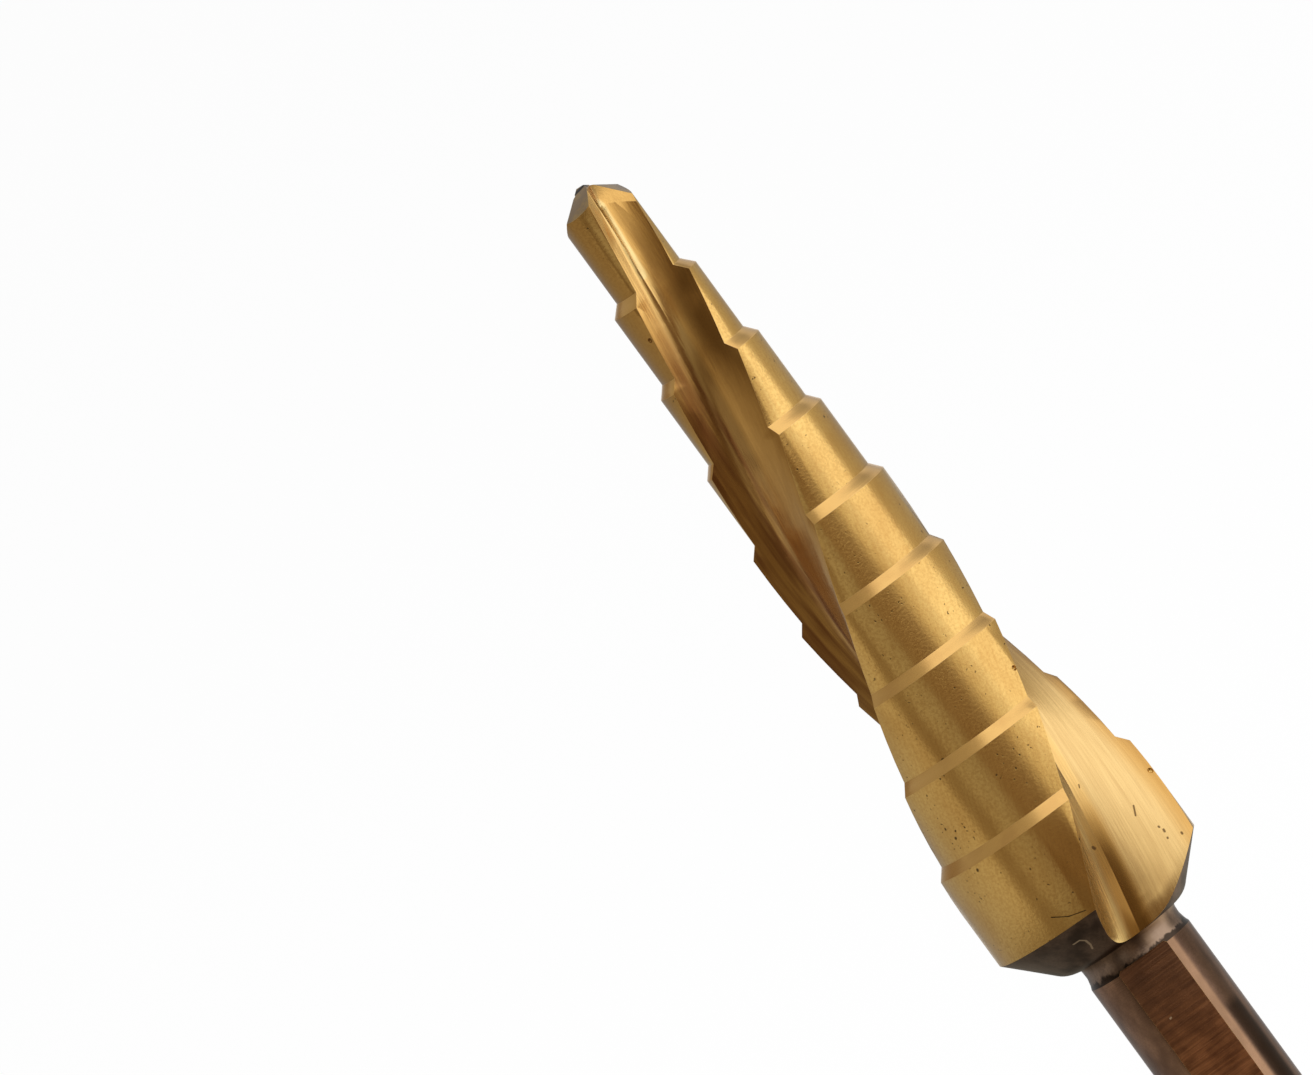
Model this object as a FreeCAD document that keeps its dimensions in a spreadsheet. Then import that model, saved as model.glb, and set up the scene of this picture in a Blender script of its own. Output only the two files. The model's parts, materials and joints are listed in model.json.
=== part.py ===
"""A spiral-flute step drill for 4 mm to 12 mm holes, turned and ground as one piece.

The drill stands on its shank end with its point up. The origin is the centre of the shank end,
+Z is the drill's axis, and -Y is square to one of the three flats on the shank.
"""

import FreeCAD, Part
import os
from math import cos, radians, sin

import Sketcher
from FreeCAD import Placement, Rotation, Vector

# Driving sizes in millimetres, and angles in degrees
SIZES = {
    "shank_diameter": 6.0,
    "shank_length": 17.5,
    "shank_edge_radius": 0.3,
    "flat_depth": 0.38,
    "flat_overrun": 0.15,
    "neck_length": 1.2,
    "neck_relief": 0.1,
    "neck_groove_radius": 1.6,
    "rear_cone_length": 2.5,
    "rear_foot_length": 0.5,
    "rear_foot_diameter": 8.1,
    "rear_foot_radius": 1.4,
    "pilot_diameter": 4.0,
    "pilot_length": 5.8,
    "pilot_relief": 0.06,
    "step_rise": 1.0,
    "step_pitch": 4.6,
    "last_step_length": 5.8,
    "shoulder_length": 0.6,
    "flute_lead": 90.5,
    "flute_opening": 119.0,
    "flute_rear_turn": -8.3,
    "rake_offset": 0.41,
    "web_radius_tip": 0.45,
    "web_radius_rear": 3.4,
    "web_bulge": 0.35,
    "valley_radius_tip": 0.5,
    "valley_radius_rear": 1.7,
    "flute_margin": 2.0,
    "lip_slope": 29.5,
    "lip_turn": -25.8,
    "heel_slope": 47.0,
    "heel_turn": -93.0,
    "heel_start": 0.24,
    "gash_slope": 38.7,
    "gash_fall": 45.0,
    "gash_start": 0.47,
    "gash_depth": 1.8,
    "gash_clearance": 6.0,
}

STEP_COUNT = 9
FLUTE_COUNT = 2
FLAT_COUNT = 3
FLUTE_SECTIONS = 14

# Points of the sketcher's own geometry
ORIGIN = (-1, 1)
X_AXIS_INDEX = -1
Y_AXIS_INDEX = -2
START_INDEX = 1
END_INDEX = 2


def add_cell(sheet, row, name, content):
    """Write one named value of the size sheet."""
    sheet.set(f"A{row}", name)
    sheet.set(f"B{row}", content)
    sheet.setAlias(f"B{row}", name)


def derived_sizes():
    """Name each size that follows from the driving ones."""
    derived = {
        "shank_radius": "=shank_diameter / 2",
        "flat_distance": "=shank_radius - flat_depth",
        "neck_radius": "=shank_radius - neck_relief",
        "pilot_radius": "=pilot_diameter / 2",
        "neck_top": "=shank_length + neck_length",
        "foot_top": "=neck_top + rear_foot_length",
        "body_base": "=neck_top + rear_cone_length",
        f"shoulder_{STEP_COUNT}": "=body_base + last_step_length",
    }
    for step in range(STEP_COUNT - 1, 1, -1):
        derived[f"shoulder_{step}"] = f"=shoulder_{step + 1} + step_pitch"
    derived["radius_1"] = "=pilot_radius - pilot_relief"
    for step in range(2, STEP_COUNT + 1):
        derived[f"radius_{step}"] = f"=pilot_radius + {step - 1} * step_rise / 2"
    derived["tip_height"] = "=shoulder_2 + pilot_length"
    derived["fluted_length"] = "=tip_height - neck_top"
    derived["tip_turn"] = "=flute_rear_turn + (tip_height - body_base) * 360 / flute_lead"
    derived["cutter_reach"] = f"=radius_{STEP_COUNT} + flute_margin"
    last = FLUTE_SECTIONS - 1
    for section in range(FLUTE_SECTIONS):
        share = f"(1 - {section} / {last})"
        derived[f"height_{section}"] = (
            f"=neck_top - flute_margin / 2 + (fluted_length + flute_margin) * {section} / {last}"
        )
        derived[f"turn_{section}"] = (
            f"=flute_rear_turn + (height_{section} - body_base) * 360 / flute_lead"
        )
        derived[f"web_{section}"] = (
            f"=web_radius_tip + (web_radius_rear - web_radius_tip) * {share}"
            f" + 4 * web_bulge * {share} * (1 - {share})"
        )
        derived[f"valley_{section}"] = (
            f"=valley_radius_tip + (valley_radius_rear - valley_radius_tip) * {share}"
        )
    return derived


def make_sizes(doc):
    """Make the sheet that holds the driving and the derived sizes."""
    sheet = doc.addObject("Spreadsheet::Sheet", "sizes")
    sheet.Label = "sizes"
    row = 1
    for name, number in SIZES.items():
        add_cell(sheet, row, name, str(number))
        row += 1
    for name, formula in derived_sizes().items():
        add_cell(sheet, row, name, formula)
        row += 1
    doc.recompute()
    return sheet


def origin_plane(body, role):
    """Find one of the body's own origin planes."""
    return next(plane for plane in body.Origin.OriginFeatures if plane.Role == role)


def add_sketch(body, name, role, axis, offset, turn, offset_rule=None, turn_rule=None):
    """Attach a sketch to an origin plane, moved along its normal and turned about one axis."""
    sketch = body.newObject("Sketcher::SketchObject", name)
    sketch.AttachmentSupport = (origin_plane(body, role), [""])
    sketch.MapMode = "FlatFace"
    sketch.AttachmentOffset = Placement(Vector(0, 0, offset), Rotation(axis, turn))
    if offset_rule:
        sketch.setExpression("AttachmentOffset.Base.z", offset_rule)
    if turn_rule:
        sketch.setExpression("AttachmentOffset.Rotation.Angle", turn_rule)
    return sketch


def bind(sketch, constraint, rule):
    """Add a constraint and tie its value to the size sheet."""
    index = sketch.addConstraint(constraint)
    sketch.setExpression(f"Constraints[{index}]", rule)


def bind_point(sketch, line, end, rules, place):
    """Tie one end of a line to its two distances from the sketch's origin."""
    across, along = rules
    if place.x == 0:
        sketch.addConstraint(Sketcher.Constraint("PointOnObject", line, end, Y_AXIS_INDEX))
    else:
        bind(sketch, Sketcher.Constraint("DistanceX", *ORIGIN, line, end, place.x), across)
    if place.y == 0:
        sketch.addConstraint(Sketcher.Constraint("PointOnObject", line, end, X_AXIS_INDEX))
    else:
        bind(sketch, Sketcher.Constraint("DistanceY", *ORIGIN, line, end, place.y), along)


def side_between(start, end, bend):
    """Make a straight side, or an arc of the given radius, and name its points at start and end."""
    if bend is None:
        return Part.LineSegment(start, end), START_INDEX, END_INDEX
    radius, turns_left = bend
    chord = end - start
    away = Vector(-chord.y, chord.x, 0).normalize()
    reach = (radius**2 - (chord.Length / 2) ** 2) ** 0.5
    centre = (start + end) / 2 + away * (reach if turns_left else -reach)
    circle = Part.Circle(centre, Vector(0, 0, 1), radius)
    first, last = (start, end) if turns_left else (end, start)
    arc = Part.ArcOfCircle(circle, circle.parameter(first), circle.parameter(last))
    return (arc, START_INDEX, END_INDEX) if turns_left else (arc, END_INDEX, START_INDEX)


def draw_outline(sketch, corners, bends=None):
    """Draw a closed outline. Corners are pairs of sheet rules, and bends give a side's radius rule
    and whether it turns left."""
    bends = bends or {}
    places = [
        Vector(sketch.evalExpression(across), sketch.evalExpression(along), 0)
        for across, along in corners
    ]
    sides = []
    for index, place in enumerate(places):
        rule, turns_left = bends.get(index, (None, False))
        bend = (sketch.evalExpression(rule), turns_left) if rule else None
        shape, first, last = side_between(place, places[(index + 1) % len(places)], bend)
        sketch.addGeometry(shape, False)
        sides.append((first, last))
    for index, (first, last) in enumerate(sides):
        following = (index + 1) % len(sides)
        joint = Sketcher.Constraint("Coincident", index, last, following, sides[following][0])
        sketch.addConstraint(joint)
        if index in bends:
            radius = sketch.evalExpression(bends[index][0])
            bind(sketch, Sketcher.Constraint("Radius", index, radius), bends[index][0])
    for index, (first, last) in enumerate(sides):
        bind_point(sketch, index, first, corners[index], places[index])


def turn_blank(body):
    """Turn the stepped blank: shank, neck, rear cone and nine steps."""
    sketch = add_sketch(body, "blank_profile", "XZ_Plane", Vector(0, 1, 0), 0, 0)
    corners = [
        ("0", "0"),
        ("sizes.shank_radius - sizes.shank_edge_radius", "0"),
        ("sizes.shank_radius", "sizes.shank_edge_radius"),
        ("sizes.shank_radius", "sizes.shank_length"),
        ("sizes.neck_radius", "sizes.neck_top"),
        ("sizes.rear_foot_diameter / 2", "sizes.foot_top"),
        (f"sizes.radius_{STEP_COUNT}", "sizes.body_base"),
    ]
    for step in range(STEP_COUNT, 1, -1):
        corners.append((f"sizes.radius_{step}", f"sizes.shoulder_{step} - sizes.shoulder_length"))
        corners.append((f"sizes.radius_{step - 1}", f"sizes.shoulder_{step}"))
    corners.append(("sizes.radius_1", "sizes.tip_height"))
    corners.append(("0", "sizes.tip_height"))
    bends = {
        1: ("sizes.shank_edge_radius", True),
        3: ("sizes.neck_groove_radius", False),
        4: ("sizes.rear_foot_radius", True),
    }
    draw_outline(sketch, corners, bends)
    blank = body.newObject("PartDesign::Revolution", "turned_blank")
    blank.Profile = sketch
    blank.ReferenceAxis = (sketch, ["V_Axis"])
    blank.Angle = 360
    return blank


def repeat_around(body, feature, name, count):
    """Repeat a feature evenly around the drill's axis."""
    pattern = body.newObject("PartDesign::PolarPattern", name)
    pattern.Originals = [feature]
    pattern.Axis = (origin_plane(body, "Z_Axis"), [""])
    pattern.Angle = 360
    pattern.Occurrences = count
    body.Tip = pattern
    return pattern


def grind_flats(body):
    """Grind the three flats of the shank, from its end into the neck."""
    sketch = add_sketch(body, "flat_profile", "XY_Plane", Vector(0, 0, 1), 0, 0)
    corners = [
        ("-sizes.cutter_reach", "-sizes.cutter_reach"),
        ("sizes.cutter_reach", "-sizes.cutter_reach"),
        ("sizes.cutter_reach", "-sizes.flat_distance"),
        ("-sizes.cutter_reach", "-sizes.flat_distance"),
    ]
    draw_outline(sketch, corners)
    flat = body.newObject("PartDesign::Pocket", "shank_flat")
    flat.Profile = sketch
    flat.Reversed = True
    flat.setExpression("Length", "sizes.shank_length + sizes.flat_overrun")
    return repeat_around(body, flat, "shank_flats", FLAT_COUNT)


def flute_section(body, number):
    """Draw the grinding wheel's section at one height: a rake face, a round valley and a long wall."""
    place = f"_{number}"
    height = body.evalExpression(f"sizes.height{place}")
    turn = body.evalExpression(f"sizes.turn{place} - 90")
    sketch = add_sketch(
        body,
        f"flute_section{place}",
        "XY_Plane",
        Vector(0, 0, 1),
        height,
        turn,
        f"sizes.height{place} * 1 mm",
        f"(sizes.turn{place} - 90) * 1 deg",
    )
    offset = body.evalExpression("sizes.rake_offset")
    reach = body.evalExpression("sizes.cutter_reach")
    web = body.evalExpression(f"sizes.web{place}")
    valley = body.evalExpression(f"sizes.valley{place}")
    opening = radians(body.evalExpression("sizes.flute_opening"))
    along = Vector(cos(opening), sin(opening), 0)
    outward = Vector(sin(opening), -cos(opening), 0)
    centre_x = (web + valley + cos(opening) * (offset + valley)) / sin(opening)
    centre = Vector(centre_x, offset + valley, 0)
    rake_foot = Vector(centre_x, offset, 0)
    wall_foot = centre - outward * valley
    wall_top = wall_foot + along * ((reach - wall_foot.y) / along.y)
    corner = Vector(reach, reach, 0)
    rake_top = Vector(reach, offset, 0)
    circle = Part.Circle(centre, Vector(0, 0, 1), valley)
    valley_arc = Part.ArcOfCircle(circle, circle.parameter(wall_foot), circle.parameter(rake_foot))
    rake, arc, wall, top, side = range(5)
    for shape in (
        Part.LineSegment(rake_top, rake_foot),
        valley_arc,
        Part.LineSegment(wall_foot, wall_top),
        Part.LineSegment(wall_top, corner),
        Part.LineSegment(corner, rake_top),
    ):
        sketch.addGeometry(shape, False)
    for kind, *ends in (
        ("Coincident", rake, START_INDEX, side, END_INDEX),
        ("Tangent", rake, END_INDEX, arc, END_INDEX),
        ("Tangent", arc, START_INDEX, wall, START_INDEX),
        ("Coincident", wall, END_INDEX, top, START_INDEX),
        ("Coincident", top, END_INDEX, side, START_INDEX),
        ("Horizontal", rake),
        ("Horizontal", top),
        ("Vertical", side),
    ):
        sketch.addConstraint(Sketcher.Constraint(kind, *ends))
    rake_height = Sketcher.Constraint("DistanceY", *ORIGIN, rake, START_INDEX, offset)
    bind(sketch, rake_height, "sizes.rake_offset")
    for kind in ("DistanceX", "DistanceY"):
        far_corner = Sketcher.Constraint(kind, *ORIGIN, side, START_INDEX, reach)
        bind(sketch, far_corner, "sizes.cutter_reach")
    bind(sketch, Sketcher.Constraint("Radius", arc, valley), f"sizes.valley{place}")
    bind(sketch, Sketcher.Constraint("Angle", wall, opening), "sizes.flute_opening * 1 deg")
    bind(sketch, Sketcher.Constraint("Distance", *ORIGIN, wall, web), f"sizes.web{place}")
    return sketch


def grind_flutes(body):
    """Grind the two helical flutes, whose web thickens from the point to the neck."""
    sections = [flute_section(body, number) for number in range(FLUTE_SECTIONS)]
    flute = body.newObject("PartDesign::SubtractiveLoft", "flute")
    flute.Profile = sections[0]
    flute.Sections = sections[1:]
    flute.Ruled = False
    return repeat_around(body, flute, "flutes", FLUTE_COUNT)


def point_sketch(body, name, turn_rule, shift_rule=None):
    """Attach an upright sketch, turned about the drill's axis and shifted along its own normal."""
    turn = body.evalExpression(turn_rule)
    angle = f"({turn_rule}) * 1 deg"
    sketch = add_sketch(body, name, "XZ_Plane", Vector(0, 1, 0), 0, turn, None, angle)
    if shift_rule:
        sketch.setExpression("AttachmentOffset.Base.x", f"{shift_rule} * sin({angle}) * 1 mm")
        sketch.setExpression("AttachmentOffset.Base.z", f"{shift_rule} * cos({angle}) * 1 mm")
    return sketch


def grind_facets(body, name, turn_rule, start_rule, slope_rule):
    """Grind a pair of sloping facets, one each side of the axis, that leave a roof at the tip."""
    sketch = point_sketch(body, f"{name}_profile", turn_rule)
    width = "sizes.pilot_diameter"
    above = "sizes.tip_height + sizes.flute_margin"
    foot = f"sizes.tip_height - (sizes.pilot_diameter - {start_rule}) * tan({slope_rule} * 1 deg)"
    ridge = [(f"{start_rule}", "sizes.tip_height")]
    if body.evalExpression(start_rule) > 0:
        ridge.append((f"-{start_rule}", "sizes.tip_height"))
    corners = ridge + [
        (f"-{width}", foot),
        (f"-{width}", above),
        (width, above),
        (width, foot),
    ]
    draw_outline(sketch, corners)
    facets = body.newObject("PartDesign::Pocket", name)
    facets.Profile = sketch
    facets.Type = "ThroughAll"
    facets.Midplane = True
    body.Tip = facets
    return facets


def split_point(body):
    """Thin the web at the tip with a notch in front of each lip."""
    sketch = point_sketch(body, "gash_profile", "sizes.tip_turn - 90", "-sizes.rake_offset")
    lean = "tan(sizes.gash_slope * 1 deg)"
    above = "sizes.tip_height + sizes.gash_clearance"
    floor = "sizes.tip_height - sizes.gash_depth"
    corners = [
        (f"-sizes.gash_start - sizes.gash_clearance * {lean}", above),
        (f"sizes.gash_depth * {lean} - sizes.gash_start", floor),
        ("sizes.pilot_diameter", floor),
        ("sizes.pilot_diameter", above),
    ]
    draw_outline(sketch, corners)
    gash = body.newObject("PartDesign::Pocket", "gash")
    gash.Profile = sketch
    gash.setExpression("Length", "sizes.pilot_diameter")
    gash.UseCustomVector = True
    gash.AlongSketchNormal = False
    across = "cos(sizes.gash_fall * 1 deg)"
    gash.setExpression("Direction.x", f"{across} * cos(sizes.tip_turn * 1 deg)")
    gash.setExpression("Direction.y", f"{across} * sin(sizes.tip_turn * 1 deg)")
    gash.setExpression("Direction.z", "-sin(sizes.gash_fall * 1 deg)")
    return repeat_around(body, gash, "split_point", FLUTE_COUNT)


def grind_point(body):
    """Grind the split point: the lips' facets, the heels' facets and the notches."""
    lip_turn = "sizes.tip_turn + sizes.lip_turn - 90"
    heel_turn = "sizes.tip_turn + sizes.heel_turn - 90"
    lips = grind_facets(body, "lip_facets", lip_turn, "0", "sizes.lip_slope")
    heels = grind_facets(body, "heel_facets", heel_turn, "sizes.heel_start", "sizes.heel_slope")
    return [lips, heels, split_point(body)]


def make_drill(doc):
    """Build the drill as one body, in the order in which such a drill is made."""
    body = doc.addObject("PartDesign::Body", "step_drill")
    body.Label = "step_drill"
    features = [turn_blank(body)]
    doc.recompute()
    features.append(grind_flats(body))
    features.append(grind_flutes(body))
    features += grind_point(body)
    body.Placement = Placement(Vector(0, 0, 0), Rotation())
    doc.recompute()
    return body, features


def check_model(doc, body, features):
    """Stop if a feature failed or a cut took nothing away."""
    for item in doc.Objects:
        if "Invalid" in item.State or "Error" in item.State:
            raise RuntimeError(f"{item.Label} failed: {item.State}")
    if body.Shape.isNull() or not body.Shape.isValid():
        raise RuntimeError(f"{body.Label} has no valid shape")
    volumes = [feature.Shape.Volume for feature in features]
    for before, after, feature in zip(volumes, volumes[1:], features[1:]):
        if after >= before:
            raise RuntimeError(f"{feature.Label} cut nothing")


def main():
    """Build, check and export the drill."""
    doc = FreeCAD.newDocument("step_drill")
    make_sizes(doc)
    body, features = make_drill(doc)
    check_model(doc, body, features)
    os.makedirs("parts", exist_ok=True)
    body.Shape.exportStep(f"parts/{body.Label}.step")
    print(f"{body.Label}: {body.Shape.Volume:.1f} mm3, {len(body.Shape.Faces)} faces")


main()
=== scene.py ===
import json
import logging
import math
from dataclasses import dataclass, field
from enum import Enum, IntEnum
from functools import partial
from typing import Any

import bpy
from mathutils import Matrix, Vector

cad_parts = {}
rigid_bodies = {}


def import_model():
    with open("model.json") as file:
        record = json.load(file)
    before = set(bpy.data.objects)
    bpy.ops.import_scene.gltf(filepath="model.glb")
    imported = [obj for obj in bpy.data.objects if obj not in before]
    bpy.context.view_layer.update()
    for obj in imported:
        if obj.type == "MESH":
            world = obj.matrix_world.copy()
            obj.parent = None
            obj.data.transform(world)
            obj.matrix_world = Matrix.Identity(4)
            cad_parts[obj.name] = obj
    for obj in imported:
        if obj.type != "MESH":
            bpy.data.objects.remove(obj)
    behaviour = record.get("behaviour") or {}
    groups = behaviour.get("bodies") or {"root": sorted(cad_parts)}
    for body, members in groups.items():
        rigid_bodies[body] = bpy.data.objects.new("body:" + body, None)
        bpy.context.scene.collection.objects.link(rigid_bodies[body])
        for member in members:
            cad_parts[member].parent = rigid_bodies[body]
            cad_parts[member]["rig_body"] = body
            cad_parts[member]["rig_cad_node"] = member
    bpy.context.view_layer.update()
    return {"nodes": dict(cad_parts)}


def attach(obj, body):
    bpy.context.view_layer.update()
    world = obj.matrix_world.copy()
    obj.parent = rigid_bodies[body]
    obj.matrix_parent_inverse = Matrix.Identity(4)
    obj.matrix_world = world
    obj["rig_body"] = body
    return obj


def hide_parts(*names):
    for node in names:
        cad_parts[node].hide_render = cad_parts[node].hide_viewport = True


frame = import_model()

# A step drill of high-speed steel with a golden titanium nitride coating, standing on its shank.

logging.basicConfig(level=logging.INFO, format="%(message)s")
log = logging.getLogger("step_drill")

MM = 0.001
PHOTO_WIDTH = 1313
PHOTO_HEIGHT = 1075
SENSOR_WIDTH = 36.0
# The height round which the camera, the lamps and the tent are set, in metres.
MIDDLE_HEIGHT = 0.035
# How far a pattern's seed moves it along each axis, and how strong its finer layers are.
SEED_STEPS = (1.0, 1.7, 0.6)
NOISE_ROUGHNESS = 0.55
# A mark is full up to this share of its width from its line.
MARK_CORE = 0.4
WHITE = (1.0, 1.0, 1.0, 1.0)


def to_linear(colour: str) -> tuple[float, float, float, float]:
    """Turn an sRGB hex colour into linear RGBA.

    Args:
        colour: The colour as six hex digits.

    Returns:
        The linear colour with full alpha.
    """
    parts = [int(colour[start : start + 2], 16) / 255 for start in (0, 2, 4)]
    linear = [
        part / 12.92 if part <= 0.04045 else ((part + 0.055) / 1.055) ** 2.4 for part in parts
    ]
    return (*linear, 1.0)


def add_node(
    tree: bpy.types.NodeTree,
    kind: str,
    settings: dict[str, Any] | None = None,
    inputs: dict[str | int, Any] | None = None,
) -> bpy.types.Node:
    """Add one node, set it up and link it.

    Args:
        tree: The node tree that takes the node.
        kind: The node's type name.
        settings: The node's own properties by name.
        inputs: Sockets to link, or plain values, by input name or number.

    Returns:
        The new node.
    """
    node = tree.nodes.new(kind)
    for name, value in (settings or {}).items():
        setattr(node, name, value)
    for name, value in (inputs or {}).items():
        if isinstance(value, bpy.types.NodeSocket):
            tree.links.new(value, node.inputs[name])
        else:
            node.inputs[name].default_value = value
    return node


def blank_tree(owner: bpy.types.ID) -> bpy.types.NodeTree:
    """Give a material or the world an empty node tree.

    Args:
        owner: The material or the world.

    Returns:
        Its node tree.
    """
    owner.use_nodes = True
    owner.node_tree.nodes.clear()
    return owner.node_tree


def pick(piece: bpy.types.Object) -> None:
    """Select one object alone and make it the active one.

    Args:
        piece: The object.
    """
    bpy.ops.object.select_all(action="DESELECT")
    piece.select_set(True)
    bpy.context.view_layer.objects.active = piece


class Zone(IntEnum):
    """The surfaces of the drill, in the order of its material slots."""

    LAND = 0
    SHOULDER = 1
    FLUTE = 2
    POINT = 3
    REAR = 4
    NECK = 5
    SHANK = 6
    FLAT = 7
    EDGE = 8


@dataclass(frozen=True)
class Mark:
    """A thin line on the surface, in millimetres: a pit, a nick or a scratch, or painted light along
    a crease or in a glint.
    """

    start: tuple[float, float, float]
    end: tuple[float, float, float]
    width: float


@dataclass(frozen=True)
class Grain:
    """A clouded or lined pattern: its cell in millimetres and the noise levels that it spans.

    The seed moves the pattern, so that each one is its own, and detail counts its finer layers.
    Lines that a wheel or a lathe leaves are often finer than the picture can show, so the lined
    patterns are drawn as coarse as shows.
    """

    cell: tuple[float, float, float]
    low: float
    high: float
    seed: float
    detail: float = 3.0


@dataclass(frozen=True)
class Strip:
    """A strip along the drill: its middle, and how far from there it is full and runs out.

    All three are angles in degrees. The middle counts from the camera's side towards +X.
    """

    middle: float
    full: float
    gone: float


@dataclass(frozen=True)
class Patch:
    """A stretch of both flutes whose colour is painted light where it is paler and painted shade
    where it is darker.

    The strip's middle counts from the rake wall. Each fade gives the height in millimetres where
    the colour begins and the height where it is full.
    """

    colour: str
    share: float
    strip: Strip
    fades: tuple[tuple[float, float], ...]


CHISEL_WEAR = (Mark((-0.34, -0.06, 64.89), (0.32, -0.25, 64.87), 0.2),)


@dataclass(frozen=True)
class DrillSizes:
    """The drill's main sizes, in millimetres and degrees, as the solid has them."""

    shank_length: float = 17.5
    flat_distance: float = 2.62
    flat_overrun: float = 0.15
    neck_top: float = 18.7
    body_base: float = 21.2
    last_step_length: float = 5.8
    step_pitch: float = 4.6
    step_rise: float = 1.0
    pilot_radius: float = 2.0
    step_count: int = 9
    shoulder_length: float = 0.6
    pilot_relief: float = 0.06
    point_base: float = 62.2
    flute_lead: float = 90.5
    flute_turn: float = -8.3

    @property
    def rake_azimuth(self) -> float:
        """The rake wall's azimuth where its twist is undone, in degrees."""
        return self.flute_turn - 360 * self.body_base / self.flute_lead

    @property
    def taper(self) -> float:
        """How fast the steps' radius grows towards the shank, as a plain ratio."""
        return self.step_rise / 2 / self.step_pitch

    @property
    def last_top(self) -> float:
        """The height at which the widest step ends."""
        return self.body_base + self.last_step_length

    @property
    def last_radius(self) -> float:
        """The radius of the widest step."""
        return self.pilot_radius + (self.step_count - 1) * self.step_rise / 2

    @property
    def taper_base(self) -> float:
        """The radius at the shank's end of a straight line through the middles of the steps."""
        return self.last_radius - self.step_rise / 4 + self.taper * self.last_top

    def land_radius(self, height: float) -> float:
        """Find the radius of the step at a height.

        Args:
            height: The height, in millimetres.

        Returns:
            The radius, in millimetres.
        """
        top = self.last_top
        radius = self.last_radius
        while height > top and radius > self.pilot_radius:
            radius -= self.step_rise / 2
            top += self.step_pitch
        return radius - (self.pilot_relief if radius <= self.pilot_radius else 0)


class Finish:
    """A material and the patterns that its nodes draw, in millimetres on the drill's own axes."""

    def __init__(self, name: str, sizes: DrillSizes) -> None:
        """Start a material with straight and with twisted coordinates.

        Args:
            name: The material's name.
            sizes: The drill's sizes, for the flutes' lead.
        """
        self.material = bpy.data.materials.new(name)
        self.add = partial(add_node, blank_tree(self.material))
        place = self.add("ShaderNodeTexCoord").outputs["Object"]
        scaled = self.add(
            "ShaderNodeVectorMath", {"operation": "SCALE"}, {0: place, "Scale": 1 / MM}
        )
        self.straight = scaled.outputs[0]
        parts = self.add("ShaderNodeSeparateXYZ", inputs={0: self.straight})
        self.height = parts.outputs["Z"]
        turn = self.add(
            "ShaderNodeMath",
            {"operation": "MULTIPLY"},
            {0: self.height, 1: -2 * math.pi / sizes.flute_lead},
        )
        rotated = self.add(
            "ShaderNodeVectorRotate",
            {"rotation_type": "Z_AXIS"},
            {"Vector": self.straight, "Angle": turn.outputs[0]},
        )
        self.twisted = rotated.outputs[0]
        flat = self.add(
            "ShaderNodeVectorMath", {"operation": "MULTIPLY"}, {0: self.straight, 1: (1, 1, 0)}
        )
        length = self.add("ShaderNodeVectorMath", {"operation": "LENGTH"}, {0: flat.outputs[0]})
        self.radius = length.outputs["Value"]

    def fade(
        self, value: bpy.types.NodeSocket, *edges: tuple[float, float]
    ) -> bpy.types.NodeSocket:
        """Fade a mask in softly, once for each edge, without overshoot.

        Args:
            value: The value that the mask follows.
            edges: For each edge, the value where the mask begins and the one where it is full.

        Returns:
            The mask, from 0 to 1.
        """
        masks = [
            self.add(
                "ShaderNodeMapRange",
                {"interpolation_type": "SMOOTHSTEP"},
                {"Value": value, "From Min": begin, "From Max": full},
            ).outputs["Result"]
            for begin, full in edges
        ]
        return self.overlap(*masks)

    def overlap(self, *masks: Any) -> Any:
        """Multiply masks, so that the result shows only where all of them do.

        Args:
            masks: The masks, as sockets or plain shares.

        Returns:
            The product.
        """
        total = masks[0]
        for mask in masks[1:]:
            joined = self.add("ShaderNodeMath", {"operation": "MULTIPLY"}, {0: total, 1: mask})
            total = joined.outputs[0]
        return total

    def weigh(self, start: Any, *parts: tuple[Any, float]) -> bpy.types.NodeSocket:
        """Add patterns to a start, each with its own weight.

        Args:
            start: What the patterns are added to.
            parts: The patterns, each with its weight.

        Returns:
            The sum.
        """
        total = start
        for pattern, weight in parts:
            added = self.add(
                "ShaderNodeMath",
                {"operation": "MULTIPLY_ADD"},
                {0: pattern, 1: weight, 2: total},
            )
            total = added.outputs[0]
        return total

    def grain(self, space: bpy.types.NodeSocket, grain: Grain) -> bpy.types.NodeSocket:
        """Draw a noise pattern whose cells have a real size.

        Args:
            space: The straight or the twisted coordinates.
            grain: The pattern's cell and levels.

        Returns:
            The pattern, from 0 to 1.
        """
        spread = self.add(
            "ShaderNodeMapping",
            inputs={
                "Vector": space,
                "Location": tuple(grain.seed * step for step in SEED_STEPS),
                "Scale": tuple(1 / size for size in grain.cell),
            },
        )
        noise = self.add(
            "ShaderNodeTexNoise",
            inputs={
                "Vector": spread.outputs[0],
                "Scale": 1.0,
                "Detail": grain.detail,
                "Roughness": NOISE_ROUGHNESS,
            },
        )
        return self.fade(noise.outputs["Fac"], (grain.low, grain.high))

    def across(
        self, space: bpy.types.NodeSocket, azimuth: float, size: bpy.types.NodeSocket, both: bool
    ) -> bpy.types.NodeSocket:
        """Measure how far a point lies out towards an azimuth, as a share of a size.

        Args:
            space: The straight or the twisted coordinates.
            azimuth: The azimuth, in degrees.
            size: The length that counts as 1, in millimetres.
            both: Whether the far side of the axis counts in the same way.

        Returns:
            The share.
        """
        turn = math.radians(azimuth)
        reach = self.add(
            "ShaderNodeVectorMath",
            {"operation": "DOT_PRODUCT"},
            {0: space, 1: (math.sin(turn), -math.cos(turn), 0)},
        )
        share = self.add(
            "ShaderNodeMath", {"operation": "DIVIDE"}, {0: reach.outputs["Value"], 1: size}
        )
        if both:
            share = self.add("ShaderNodeMath", {"operation": "ABSOLUTE"}, {0: share.outputs[0]})
        return share.outputs[0]

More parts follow.
